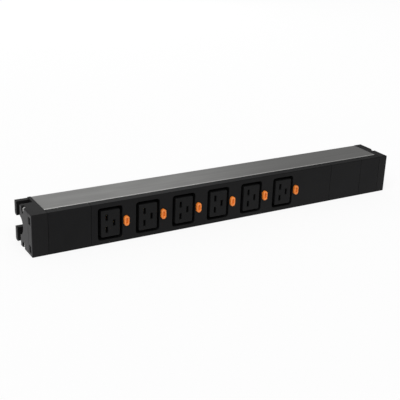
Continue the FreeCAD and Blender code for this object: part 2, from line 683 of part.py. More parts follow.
def earth_bond_strap():
    """Bent strap from the back of the earth busbar to the web."""
    front = BUSBAR_BACK + STRAP_WALL / 2
    back = WEB_DEPTH - STRAP_WALL / 2
    points = [(STRAP_START, front), (STRAP_BEND, front), (STRAP_BEND, back), (STRAP_BEND + STRAP_FOOT, back)]
    strap = bent_strip(points, STRAP_WALL, around(MID_HEIGHT, STRAP_WIDTH))
    hole = rod_y(BOND_SCREW_RADIUS + SCREW_GAP, (front, WEB_DEPTH), BOND_SCREW_X, MID_HEIGHT)
    return one_solid(strap.cut(hole))


def earth_bond_screw():
    """Screw that fastens the strap to the web."""
    seat = WEB_DEPTH - STRAP_WALL
    head_depth = (seat - BOND_HEAD_HEIGHT, seat)
    return headed_screw(BOND_HEAD_RADIUS, head_depth, BOND_SCREW_RADIUS, WEB_BACK, BOND_SCREW_X, MID_HEIGHT)


def cord_clamp_half(depth_span, hole_depth):
    """One half of the cord clamp: a block with half of the cord's seat and two screw holes."""
    half = block(SADDLE_SPAN, depth_span, around(MID_HEIGHT, SADDLE_HEIGHT))
    half = half.cut(rod_x(CABLE_RADIUS, SADDLE_SPAN, CABLE_DEPTH, MID_HEIGHT))
    for height in around(MID_HEIGHT, CORD_SCREW_SPACING):
        half = half.cut(rod_y(CORD_SCREW_RADIUS + SCREW_GAP, hole_depth, CORD_SCREW_X, height))
    return one_solid(half)


def cord_clamp_saddle():
    """Block on the web with a round seat for the cord."""
    front = CABLE_DEPTH + CORD_BAR_GAP / 2
    return cord_clamp_half((front, WEB_DEPTH), (front, front + CORD_SCREW_GRIP + CORD_BAR_GAP))


def cord_clamp_bar():
    """Bar that presses the cord into the saddle."""
    depth_span = (CORD_BAR_FRONT, CABLE_DEPTH - CORD_BAR_GAP / 2)
    return cord_clamp_half(depth_span, depth_span)


def cord_clamp_screws():
    """Two screws through the bar into the saddle."""
    head_depth = (CORD_BAR_FRONT - BOND_HEAD_HEIGHT, CORD_BAR_FRONT)
    tip = CABLE_DEPTH + CORD_BAR_GAP / 2 + CORD_SCREW_GRIP
    screws = []
    for height in around(MID_HEIGHT, CORD_SCREW_SPACING):
        screws.append(headed_screw(BOND_HEAD_RADIUS, head_depth, CORD_SCREW_RADIUS, tip,
                                   CORD_SCREW_X, height))
    return Part.makeCompound(screws)


def cable_grommet():
    """Rubber bush with a flange on each side of the end plate."""
    outer = RIGHT_END - GROMMET_GAP
    plate_out = outer - GROMMET_LIP
    plate_in = RIGHT_END - CAP_PLATE
    inner = plate_in - GROMMET_LIP
    bush = rod_x(GROMMET_RADIUS, (plate_out, outer), CABLE_DEPTH, MID_HEIGHT)
    bush = bush.fuse(rod_x(GROMMET_NECK, (plate_in, plate_out), CABLE_DEPTH, MID_HEIGHT))
    bush = bush.fuse(rod_x(GROMMET_RADIUS, (inner, plate_in), CABLE_DEPTH, MID_HEIGHT))
    return one_solid(bush.cut(rod_x(CABLE_RADIUS, (inner, outer), CABLE_DEPTH, MID_HEIGHT)))


def cap_tongues(inner_face, direction):
    """Upper and lower tongues that locate an end cap inside the profile, rooted in the cap's walls."""
    tongues = []
    depth_span = (CAP_TONGUE_START, CAP_TONGUE_END)
    tongue_x = sorted((inner_face, inner_face + direction * CAP_TONGUE_REACH))
    root_x = sorted((inner_face, inner_face - direction * CAP_TONGUE_REACH))
    for side in (-1, 1):
        outside = MID_HEIGHT + side * (MID_HEIGHT - PROFILE_WALL - CAP_TONGUE_GAP)
        inside = outside - side * CAP_TONGUE_WALL
        wall_middle = MID_HEIGHT + side * (MID_HEIGHT - CAP_WALL / 2)
        tongues.append(block(tongue_x, depth_span, sorted((outside, inside))))
        tongues.append(block(root_x, depth_span, sorted((wall_middle, inside))))
    return tongues


def screw_recess(outer_face, direction, height):
    """Round recess for a screw head in an end face, open to the nearer of the top and the base."""
    along = sorted((outer_face, outer_face + direction * RECESS_DEPTH))
    edge = BODY_HEIGHT if height > MID_HEIGHT else 0
    slot = block(along, around(PORT_DEPTH, 2 * RECESS_RADIUS), sorted((height, edge)))
    return rod_x(RECESS_RADIUS, along, PORT_DEPTH, height).fuse(slot)


def rounded_cap(x_span, outer_face, depth_end):
    """Block with its front and outer edges rounded."""
    body = block(x_span, (0, depth_end), (0, BODY_HEIGHT))
    outer_edges = edges_near(body, lambda x, d, z: same(x, outer_face) and not same(d, depth_end))
    front_edges = edges_near(body, lambda x, d, z: same(d, 0) and on_top_or_base(z))
    return body.makeFillet(EDGE_RADIUS, outer_edges + front_edges)


def bracket_hook(x_span, side):
    """Hook above or below the mouth of the bracket slot, with its lower rear edge rounded."""
    outside = MID_HEIGHT + side * (MID_HEIGHT - HOOK_INSET)
    z_span = sorted((outside, MID_HEIGHT + side * SLOT_MOUTH / 2))
    hook = block(x_span, (HOOK_FRONT, BODY_DEPTH), z_span)
    rear_edge = edges_near(hook, lambda x, d, z: same(d, BODY_DEPTH) and same(z, z_span[0]))
    return hook.makeFillet(HOOK_CORNER, rear_edge)


def left_end_cap():
    """Hollow block with latch windows, screw recesses, a rear bracket slot and two hooks."""
    inner = PROFILE_START - SEAM_GAP / 2
    all_heights = (0, BODY_HEIGHT)
    back_plate = (inner - HOOK_BACK_PLATE, inner)
    cap = rounded_cap((LEFT_END, inner), LEFT_END, WEB_BACK)
    notch_centre = WEB_BACK - NOTCH_DEPTH + NOTCH_RADIUS
    cap = cap.cut(rod_x(NOTCH_RADIUS, (LEFT_END, back_plate[0]), notch_centre, MID_HEIGHT))
    hollow = (CAP_WALL, BODY_HEIGHT - CAP_WALL)
    cap = cap.cut(block((LEFT_END + CAP_PLATE, inner), (FRONT_WALL, CAP_BOSS_DEPTH), hollow))
    cap = cap.cut(block((LEFT_END, LEFT_END + CAP_GROOVE), around(BAND_DEPTH, CAP_GROOVE), all_heights))
    cap = cap.fuse(block(back_plate, (WEB_BACK, BODY_DEPTH), all_heights))
    for side in (-1, 1):
        outside = MID_HEIGHT + side * (MID_HEIGHT - LATCH_INSET)
        window_z = sorted((outside, outside - side * LATCH_HEIGHT))
        window_depth = (LATCH_START, LATCH_START + LATCH_WIDTH)
        cap = cap.cut(block((LEFT_END, LEFT_END + LATCH_DEPTH), window_depth, window_z))
        cap = cap.fuse(bracket_hook((LEFT_END, inner), side))
    cap = cap.cut(block(back_plate, (WEB_BACK, HOOK_FRONT), around(MID_HEIGHT, PASSAGE_HEIGHT)))
    cap = cap.cut(block((LEFT_END, inner), (HOOK_FRONT, BODY_DEPTH), around(MID_HEIGHT, SLOT_MOUTH)))
    for height in PORT_HEIGHTS:
        cap = cap.cut(screw_recess(LEFT_END, 1, height))
        cap = cap.cut(rod_x(CAP_SCREW_HOLE, (LEFT_END, inner), PORT_DEPTH, height))
    return one_solid(cap.fuse(cap_tongues(inner, 1)))


def right_end_cap():
    """Hollow block with an end plate, screw bosses and recesses and a seat for the cable grommet.

    It is solid behind the web, where it closes the end of the T-slot.
    """
    inner = PROFILE_END + SEAM_GAP / 2
    plate_in = RIGHT_END - CAP_PLATE
    hollow = (CAP_WALL, BODY_HEIGHT - CAP_WALL)
    envelope = block((inner, plate_in), (0, BODY_DEPTH), (0, BODY_HEIGHT))
    cap = rounded_cap((inner, RIGHT_END), RIGHT_END, BODY_DEPTH)
    cap = cap.cut(block((inner, plate_in), (FRONT_WALL, WEB_DEPTH), hollow))
    for height in PORT_HEIGHTS:
        cap = cap.fuse(rod_x(RECESS_RADIUS, (inner, plate_in), PORT_DEPTH, height).common(envelope))
    for height in PORT_HEIGHTS:
        cap = cap.cut(screw_recess(RIGHT_END, -1, height))
        cap = cap.cut(rod_x(CAP_SCREW_HOLE, (inner, RIGHT_END), PORT_DEPTH, height))
    cap = cap.fuse(cap_tongues(inner, -1))
    seat = (RIGHT_END - GROMMET_LIP - GROMMET_GAP, RIGHT_END)
    cap = cap.cut(rod_x(GROMMET_RADIUS + GROMMET_GAP, seat, CABLE_DEPTH, MID_HEIGHT))
    cap = cap.cut(rod_x(GROMMET_NECK + GROMMET_GAP, (plate_in, RIGHT_END), CABLE_DEPTH, MID_HEIGHT))
    return one_solid(cap)


def cap_screw(outer_face, direction, inner_face, height):
    """Screw from a recess of an end cap into one of the profile's screw ports."""
    seat = outer_face + direction * RECESS_DEPTH
    top = seat - direction * CAP_HEAD_HEIGHT
    tip = inner_face + direction * CAP_SCREW_GRIP
    head = rod_x(CAP_HEAD_RADIUS, sorted((top, seat)), PORT_DEPTH, height)
    head = head.makeChamfer(CAP_HEAD_EDGE, edges_near(head, lambda x, d, z: same(x, top)))
    shank = rod_x(CAP_SCREW_RADIUS, sorted((seat, tip)), PORT_DEPTH, height)
    return one_solid(head.fuse(shank))


def end_cap_screws():
    """Two screws in each end cap."""
    ends = ((LEFT_END, 1, PROFILE_START), (RIGHT_END, -1, PROFILE_END))
    return Part.makeCompound([cap_screw(*end, height) for end in ends for height in PORT_HEIGHTS])


def all_nodes():
    """Every piece of the unit by its node name."""
    line_height, earth_height, neutral_height = pole_heights()
    nodes = {
        "aluminium_profile": aluminium_profile(),
        "outlet_panel": outlet_panel(),
        "blank_cover": front_moulding(PROFILE_START, PANEL_START),
        "terminal_cover": front_moulding(PANEL_END, TERMINAL_END),
        "cable_cover": front_moulding(TERMINAL_END, PROFILE_END),
        "left_end_cap": left_end_cap(),
        "right_end_cap": right_end_cap(),
        "end_cap_screws": end_cap_screws(),
        "line_busbar": busbar(0, line_height),
        "neutral_busbar": busbar(1, neutral_height),
        "earth_busbar": busbar(2, earth_height),
        "contact_carrier": contact_carrier(),
        "terminal_block": terminal_block(),
        "terminal_clamps": terminal_clamps(),
        "terminal_screws": terminal_screws(),
        "earth_bond_strap": earth_bond_strap(),
        "earth_bond_screw": earth_bond_screw(),
        "cord_clamp_saddle": cord_clamp_saddle(),
        "cord_clamp_bar": cord_clamp_bar(),
        "cord_clamp_screws": cord_clamp_screws(),
        "cable_grommet": cable_grommet(),
    }
    for number, centre in enumerate(OUTLET_CENTRES, 1):
        nodes[f"outlet_insert_{number}"] = outlet_insert(centre)
        nodes[f"release_button_{number}"] = release_button(centre)
        nodes[f"lock_pawl_{number}"] = lock_pawl(centre)
        nodes[f"button_spring_{number}"] = button_spring(centre)
    return nodes


os.makedirs("parts", exist_ok=True)
for name, shape in all_nodes().items():
    shape.exportStep(f"parts/{name}.step")
    box = shape.BoundBox
    print(f"{name}: solids {len(shape.Solids)} valid {shape.isValid()} volume {shape.Volume:.1f}",
          f"x {box.XMin:.2f} {box.XMax:.2f} y {box.YMin:.2f} {box.YMax:.2f} z {box.ZMin:.2f} {box.ZMax:.2f}")
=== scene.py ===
import json
import math
from typing import NamedTuple

import bpy
import numpy as np
from bpy.props import FloatProperty, FloatVectorProperty, IntProperty, PointerProperty
from bpy.types import NodeSocket, Operator, Panel, PropertyGroup
from mathutils import Matrix, Vector


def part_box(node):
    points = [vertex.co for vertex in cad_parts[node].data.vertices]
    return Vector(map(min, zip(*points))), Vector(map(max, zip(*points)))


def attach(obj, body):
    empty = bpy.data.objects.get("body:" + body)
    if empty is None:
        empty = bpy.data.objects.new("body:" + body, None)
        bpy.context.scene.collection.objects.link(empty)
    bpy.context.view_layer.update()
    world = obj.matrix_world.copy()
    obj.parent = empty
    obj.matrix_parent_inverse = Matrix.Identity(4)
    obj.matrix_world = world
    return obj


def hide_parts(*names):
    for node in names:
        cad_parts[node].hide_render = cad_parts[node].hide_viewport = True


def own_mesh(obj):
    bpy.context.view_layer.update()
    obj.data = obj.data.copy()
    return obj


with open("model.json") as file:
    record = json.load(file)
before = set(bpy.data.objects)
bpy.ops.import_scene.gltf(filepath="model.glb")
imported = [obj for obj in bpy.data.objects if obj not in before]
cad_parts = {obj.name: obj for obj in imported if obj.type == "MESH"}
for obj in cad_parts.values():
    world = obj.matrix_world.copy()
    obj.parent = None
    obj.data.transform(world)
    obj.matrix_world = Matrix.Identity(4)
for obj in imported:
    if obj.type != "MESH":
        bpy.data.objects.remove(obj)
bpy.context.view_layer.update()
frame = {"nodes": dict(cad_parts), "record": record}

bl_info = {
    "name": "Rack power unit",
    "version": (1, 0, 0),
    "blender": (4, 5, 0),
    "location": "View3D > Sidebar > Rack unit",
    "description": "Finishes, fine pieces and a studio for a rack power distribution unit",
    "category": "Object",
}

# Lengths are metres in the frame's own axes: X along the unit, Y to the back, Z up.
HOUSING = "housing"
# The outlets are numbered from 1, and each has a button and a spring of its number.
OUTLETS = range(1, 1 + sum(name.startswith("outlet_insert_") for name in frame["nodes"]))
FULL_TURN = 2 * math.pi
HALF_TURN = math.pi
QUARTER_TURN = math.pi / 2
SHARP_ANGLE = math.radians(40)
X_AXIS, Y_AXIS, Z_AXIS = np.eye(3)
WHITE = (1.0, 1.0, 1.0, 1.0)

# Points on the arcs and outlines of the fine pieces.
EDGE_STEPS = 7
LIP_STEPS = 5
HALF_CIRCLE_STEPS = 17
CORNER_STEPS = 5
BEND_STEPS = 11
DOME_STEPS = 13
HEAD_SIDE_STEPS = 5
THREAD_STEPS = 8
FLANGE_STEPS = 6

# Width of the painted highlight along the profile's front edges.
FRONT_HIGHLIGHT_WIDTH = 0.0022
# Depths below the unit's ends at which the painted light on the end faces starts and is full.
END_LIGHT_START = 0.0006
END_LIGHT_FULL = 0.0002
# Width over which that painted light fades out at the bracket slot.
END_LIGHT_FADE = 0.0004
# Knee in the wall of a button's thumb recess, as shares of the wall's slope and the recess's depth.
KNEE_SLOPE = 0.55
KNEE_DEPTH = 0.85
# How far a spring's tip stays behind its box's front, in half thicknesses, as the strip slopes there.
TIP_LIFT = 1.4
# Flat centre of a screw's head as a share of its radius.
HEAD_CENTRE = 0.04
# Where a head's rounded side starts, as a share of a quarter turn, and its share of the head's height.
HEAD_SIDE_START = 0.2
HEAD_SIDE_SHARE = 0.5
# Sloping wall of a cross recess as a share of the recess's width.
RECESS_WALL = 1 / 3
# Threads over which a screw tapers to its point.
TAPER_THREADS = 2
FLOOR_ROUGHNESS = 0.9
CAMERA_CLIP = 0.01


class InsideScrews(NamedTuple):
    """A row of like screws inside the housing, with what the frame's box doesn't say of them."""

    node: str
    count: int
    head_height: float
    shank_radius: float


INSIDE_SCREWS = (
    InsideScrews(node="terminal_screws", count=3, head_height=0.0016, shank_radius=0.00195),
    InsideScrews(node="cord_clamp_screws", count=2, head_height=0.0024, shank_radius=0.00190),
    InsideScrews(node="earth_bond_screw", count=1, head_height=0.0024, shank_radius=0.00195),
)


class ScrewForm(NamedTuple):
    """Sizes of one screw, with its point's radius as a share of the shank's."""

    head_radius: float
    head_height: float
    shank_radius: float
    length: float
    point: float


class FinishColours(PropertyGroup):
    """Colours of the unit's materials."""

    aluminium: FloatVectorProperty(
        name="Aluminium", description="Anodised skin of the extruded profile",
        subtype="COLOR", min=0, max=1, default=(0.297, 0.296, 0.290))
    front: FloatVectorProperty(
        name="Front moulding", description="Outlet panel and blank covers",
        subtype="COLOR", min=0, max=1, default=(0.0060, 0.0060, 0.0063))
    cap: FloatVectorProperty(
        name="End cap", description="Moulded caps at both ends",
        subtype="COLOR", min=0, max=1, default=(0.0064, 0.0063, 0.0065))
    # Painted light: a lighter colour on the caps' outer faces that stands in for the light falling on
    # them.
    cap_end_light: FloatVectorProperty(
        name="End face", description="Coarser grain on the caps' outer faces",
        subtype="COLOR", min=0, max=1, default=(0.0236, 0.0232, 0.0242))
    outlet: FloatVectorProperty(
        name="Outlet insert", description="Moulding round the contacts",
        subtype="COLOR", min=0, max=1, default=(0.0058, 0.0058, 0.0061))
    button: FloatVectorProperty(
        name="Release button", description="Orange push buttons",
        subtype="COLOR", min=0, max=1, default=(0.685, 0.184, 0.022))
    steel: FloatVectorProperty(
        name="Spring steel", description="Lock pawls and leaf springs",
        subtype="COLOR", min=0, max=1, default=(0.55, 0.55, 0.56))
    zinc: FloatVectorProperty(
        name="Zinc plate", description="Screws",
        subtype="COLOR", min=0, max=1, default=(0.74, 0.74, 0.72))
    brass: FloatVectorProperty(
        name="Brass", description="Busbars, contacts and clamps",
        subtype="COLOR", min=0, max=1, default=(0.72, 0.52, 0.22))
    insulator: FloatVectorProperty(
        name="Insulator", description="Contact carrier, terminal block and cord clamp",
        subtype="COLOR", min=0, max=1, default=(0.55, 0.54, 0.5))
    rubber: FloatVectorProperty(
        name="Rubber", description="Cable grommet",
        subtype="COLOR", min=0, max=1, default=(0.010, 0.010, 0.010))


class ButtonSizes(PropertyGroup):
    """Form of the release buttons, which take their place from the frame."""

    width: FloatProperty(
        name="Width", description="Across the cap", unit="LENGTH", default=0.0054)
    height: FloatProperty(
        name="Height", description="Along the cap", unit="LENGTH", default=0.0105)
    cap_depth: FloatProperty(
        name="Cap depth", description="From the face to the stop plate", unit="LENGTH", default=0.0053)
    edge: FloatProperty(
        name="Edge", description="Radius of the outer edge", unit="LENGTH", default=0.0007)
    thumb_width: FloatProperty(
        name="Thumb recess width", description="Across the recess in the face",
        unit="LENGTH", default=0.0024)
    thumb_height: FloatProperty(
        name="Thumb recess height", description="Along the recess in the face",
        unit="LENGTH", default=0.0060)
    thumb_depth: FloatProperty(
        name="Thumb recess depth", description="How far the recess goes in",
        unit="LENGTH", default=0.0020)
    slope: FloatProperty(
        name="Slope", description="Width of the recess's wall", unit="LENGTH", default=0.0004)
    lip: FloatProperty(
        name="Lip", description="Radius of the recess's edge", unit="LENGTH", default=0.0003)
    stop_wall: FloatProperty(
        name="Stop plate", description="Thickness of the plate behind the panel",
        unit="LENGTH", default=0.0014)
    stop_width: FloatProperty(
        name="Stop width", description="Across the stop plate", unit="LENGTH", default=0.0050)
    stem_height: FloatProperty(
        name="Stem height", description="Upright size of the stem", unit="LENGTH", default=0.0084)
    root_left: FloatProperty(
        name="Stem root", description="From the button's middle to the root's left side",
        unit="LENGTH", default=0.0023)
    tip_left: FloatProperty(
        name="Stem tip", description="From the button's middle to the tip's left side",
        unit="LENGTH", default=0.0002)
    tip_width: FloatProperty(
        name="Tip width", description="Across the stem's tip", unit="LENGTH", default=0.0008)
    ramp_length: FloatProperty(
        name="Ramp length", description="Depth of the ramp on the stem", unit="LENGTH", default=0.0072)
    ramp_ratio: FloatProperty(
        name="Ramp ratio", description="Rise of the ramp for its depth",
        subtype="FACTOR", min=0, max=1, default=0.5)


class SpringSizes(PropertyGroup):
    """Form of the leaf springs, which take their place from the frame."""

    strip: FloatProperty(
        name="Strip", description="Thickness of the strip", unit="LENGTH", default=0.0004)
    bend: FloatProperty(
        name="Bend", description="Radius of the fold", unit="LENGTH", default=0.0009)
    tip_inset: FloatProperty(
        name="Tip inset", description="From the tail's end to the tip, along the unit",
        unit="LENGTH", default=0.0024)


class ScrewSizes(PropertyGroup):
    """Form of the screws, which take their place and head radius from the frame."""

    pitch: FloatProperty(
        name="Pitch", description="Rise of the thread in a turn", unit="LENGTH", default=0.0013)
    thread: FloatProperty(
        name="Thread", description="Depth of the thread", unit="LENGTH", default=0.00035)
    dome_share: FloatProperty(
        name="Dome", description="Rise of the head's top as a share of its height",
        subtype="FACTOR", min=0, max=1, default=0.25)
    crown_share: FloatProperty(
        name="Crown", description="Radius of the head's top as a share of its radius",
        subtype="FACTOR", min=0, max=1, default=0.86)
    recess_share: FloatProperty(
        name="Recess", description="Length of a recess's arm as a share of the head's radius",
        subtype="FACTOR", min=0, max=1, default=0.52)
    slot_share: FloatProperty(
        name="Slot", description="Width of the recess as a share of the head's radius",
        subtype="FACTOR", min=0, max=1, default=0.24)
    recess_depth_share: FloatProperty(
        name="Recess depth", description="Depth of the recess as a share of the head's height",
        subtype="FACTOR", min=0, max=1, default=0.6)
    sides: IntProperty(name="Sides", description="Steps round a screw", min=3, default=48)
    cap_head_height: FloatProperty(
        name="Cap screw head", description="Height of the end caps' screw heads",
        unit="LENGTH", default=0.0020)
    cap_shank_radius: FloatProperty(
        name="Cap screw shank", description="Radius of the end caps' screws",
        unit="LENGTH", default=0.0016)
    left_length: FloatProperty(
        name="Left length", description="Length of the left end cap's screws",
        unit="LENGTH", default=0.0248)
    right_length: FloatProperty(
        name="Right length", description="Length of the right end cap's screws",
        unit="LENGTH", default=0.0192)
    cap_point: FloatProperty(
        name="Cap screw point",
        description="Radius of the end caps' screw points as a share of the shank's",
        subtype="FACTOR", min=0, max=1, default=0.35)
    inside_point: FloatProperty(
        name="Inside screw end",
        description="Radius of the inside screws' blunt ends as a share of the shank's",
        subtype="FACTOR", min=0, max=1, default=0.92)


class GrommetSizes(PropertyGroup):
    """Form of the cable grommet, which takes its place from the frame."""

    bore: FloatProperty(
        name="Bore", description="Radius of the cord's hole", unit="LENGTH", default=0.0065)
    neck: FloatProperty(
        name="Neck", description="Radius inside the end plate", unit="LENGTH", default=0.0085)
    lip: FloatProperty(
        name="Lip", description="Thickness of each flange", unit="LENGTH", default=0.0014)
    edge: FloatProperty(
        name="Edge", description="Radius of the flanges' edges", unit="LENGTH", default=0.0006)
    sides: IntProperty(name="Sides", description="Steps round the grommet", min=3, default=96)


class StudioSettings(PropertyGroup):
    """Camera, light and floor."""

    camera_place: FloatVectorProperty(
        name="Camera", description="Where the camera stands", subtype="XYZ", unit="LENGTH",
        default=(-0.46240, -0.74333, 0.35945))
    azimuth: FloatProperty(
        name="Azimuth", description="Turn of the view to the right of straight at the front",
        subtype="ANGLE", default=math.radians(30.69))
    elevation: FloatProperty(
        name="Elevation", description="How far the view looks down", subtype="ANGLE",
        default=math.radians(21.516))
    roll: FloatProperty(
        name="Roll", description="Lift of the camera's right side", subtype="ANGLE",
        default=math.radians(2.231))
    lens: FloatProperty(
        name="Lens", description="Focal length", unit="CAMERA", default=77.048)
    sensor: FloatProperty(
        name="Sensor", description="Width of the sensor", unit="CAMERA", default=36.0)
    floor_colour: FloatVectorProperty(
        name="Floor", description="Pale studio floor", subtype="COLOR", min=0, max=1,
        default=(0.95, 0.95, 0.95))
    floor_size: FloatProperty(
        name="Floor size", description="Side of the floor", unit="LENGTH", default=30.0)
    floor_white: FloatProperty(
        name="Floor white", description="Share of even white in the floor as it is seen",
        subtype="FACTOR", min=0, max=1, default=0.8)
    world_light: FloatProperty(
        name="World light", description="Strength of the even light", default=0.33)
    top_light: FloatProperty(
        name="Top light", description="Strength of the soft sun", default=2.5)
    top_spread: FloatProperty(
        name="Top spread", description="Width of the soft sun", subtype="ANGLE",
        default=math.radians(70))
    top_place: FloatVectorProperty(
        name="Top place", description="Where the soft sun shines from, towards the origin",
        subtype="XYZ", unit="LENGTH", default=(-0.6, -1.1, 1.5))
    side_light: FloatProperty(
        name="Side light", description="Power of the low strip at the left end",
        unit="POWER", default=1.0)
    side_length: FloatProperty(
        name="Side length", description="Length of the low strip", unit="LENGTH", default=0.30)
    side_height_share: FloatProperty(
        name="Side height", description="Height of the low strip as a share of the end cap's",
        subtype="FACTOR", min=0, max=1, default=0.85)
    side_place: FloatVectorProperty(
        name="Side place", description="Where the low strip stands, along and across the unit",
        size=2, unit="LENGTH", default=(-0.70, 0.06))
    back_light: FloatProperty(
        name="Back light", description="Power of the soft box behind the unit",
        unit="POWER", default=1.6)
    back_size: FloatProperty(
        name="Back size", description="Side of the box behind", unit="LENGTH", default=1.0)
    back_place: FloatVectorProperty(
        name="Back place", description="Where the soft box stands",
        subtype="XYZ", unit="LENGTH", default=(0.30, 1.35, 0.6))
    back_target: FloatVectorProperty(
        name="Back target", description="Where the soft box is aimed",
        subtype="XYZ", unit="LENGTH", default=(-0.1, 0.0, 0.04))


class RackUnitSettings(PropertyGroup):
    """All settings of the rack unit."""

    colours: PointerProperty(type=FinishColours)
    buttons: PointerProperty(type=ButtonSizes)
    springs: PointerProperty(type=SpringSizes)
    screws: PointerProperty(type=ScrewSizes)
    grommet: PointerProperty(type=GrommetSizes)
    studio: PointerProperty(type=StudioSettings)


def settings():
    """The scene's settings of the rack unit."""
    return bpy.context.scene.rack_unit


def add_object(name, data):
    """New object that shows the data, linked to the scene."""
    thing = bpy.data.objects.new(name, data)
    bpy.context.scene.collection.objects.link(thing)
    return thing


def grid_quads(rows, columns):
    """Quads of a grid of points that closes on itself round its columns."""
    row, column = np.meshgrid(np.arange(rows - 1), np.arange(columns), indexing="ij")
    here = row * columns + column
    beside = row * columns + (column + 1) % columns
    return np.stack([here, beside, beside + columns, here + columns], axis=-1).reshape(-1, 4)


def grid_shell(points):
    """Closed shell from rows of points: quads between the rows and one flat face on each end row."""
    rows, columns, _ = points.shape
    index = np.arange(rows * columns).reshape(rows, columns)
    return points.reshape(-1, 3), grid_quads(rows, columns), [index[0, ::-1], index[-1]]


def ring_shell(points):
    """Closed ring from rows of points whose last row joins the first."""
    rows, columns, _ = points.shape
    return points.reshape(-1, 3), grid_quads(rows + 1, columns) % (rows * columns), []


def outward(points, quads, ends):
    """A shell's faces as lists, turned round where its volume, a sum of triple products, is negative."""
    fans = [quads[:, [0, 1, 2]], quads[:, [0, 2, 3]]]
    for end in ends:
        fans.append(np.stack([np.full(len(end) - 2, end[0]), end[1:-1], end[2:]], axis=-1))
    first, second, third = np.moveaxis(points[np.concatenate(fans)], 1, 0)
    volume = np.einsum("ij,ij->", first, np.cross(second, third))
    faces = quads.tolist() + [end.tolist() for end in ends]
    return faces if volume > 0 else [face[::-1] for face in faces]


def make_piece(name, shells, body, node):
    """One mesh object of closed shells that rides on a body and stands for a CAD node, in its finish."""
    all_points = []
    all_faces = []
    for points, quads, ends in shells:
        start = sum(len(part) for part in all_points)
        all_faces += [[start + corner for corner in face] for face in outward(points, quads, ends)]
        all_points.append(points)
    mesh = bpy.data.meshes.new(name)
    mesh.from_pydata(np.concatenate(all_points).tolist(), [], all_faces)
    mesh.polygons.foreach_set("use_smooth", np.ones(len(mesh.polygons), dtype=bool))
    mesh.set_sharp_from_angle(angle=SHARP_ANGLE)
    mesh.update()
    piece = add_object(name, mesh)
    mesh.materials.append(frame["nodes"][node].data.materials[0])
    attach(piece, body)
    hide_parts(node)
    return piece


def arc(centre, radius, start, end, steps):
    """Points of a circular arc in a plane, centre + radius (cos a, sin a) for a from start to end."""
    angle = np.linspace(start, end, steps)
    return np.stack([centre[0] + radius * np.cos(angle), centre[1] + radius * np.sin(angle)], axis=-1)


def rounded_outline(width, height, radius, steps):
    """Rectangle with round corners about the origin, as four arcs joined by straight sides."""
    corner_x = width / 2 - radius
    corner_z = height / 2 - radius
    corners = []
    for index, (sign_x, sign_z) in enumerate(((1, 1), (-1, 1), (-1, -1), (1, -1))):
        centre = (sign_x * corner_x, sign_z * corner_z)
        corners.append(arc(centre, radius, index * QUARTER_TURN, (index + 1) * QUARTER_TURN, steps))
    return np.concatenate(corners)


def carried(outline, axis, start, end):
    """Closed prism: a flat outline across an axis, carried along that axis from start to end."""
    rows = np.empty((2, len(outline), 3))
    rows[..., axis == 0] = outline
    rows[0, :, axis == 1] = start
    rows[1, :, axis == 1] = end
    return grid_shell(rows)


def turns(sides):
    """Even angles of one turn, as a row."""
    return np.linspace(0, FULL_TURN, sides, endpoint=False)[None, :]


class Finish:
    """Node tree of one material."""

    def __init__(self, name):
        self.material = bpy.data.materials.new(name)
        self.material.use_nodes = True
        self.tree = self.material.node_tree
        self.shader = self.tree.nodes["Principled BSDF"]

    def add(self, kind, **inputs):
        """New node, with each named input linked to a socket or set to a value."""
        node = self.tree.nodes.new(kind)
        for label, value in inputs.items():
            self.feed(node.inputs[label.replace("_", " ")], value)
        return node

    def feed(self, socket, value):
        """Link a socket to another or set its value."""
        if isinstance(value, NodeSocket):
            self.tree.links.new(value, socket)
        else:
            socket.default_value = value

    def span(self, value, low, high, start, end):
        """Value carried from low..high to start..end."""
        node = self.add("ShaderNodeMapRange", Value=value,
                        From_Min=low, From_Max=high, To_Min=start, To_Max=end)
        return node.outputs["Result"]

    def calculate(self, operation, *values):
        """Result of an arithmetic operation on one or two values."""
        node = self.tree.nodes.new("ShaderNodeMath")
        node.operation = operation
        for socket, value in zip(node.inputs, values):
            self.feed(socket, value)
        return node.outputs["Value"]


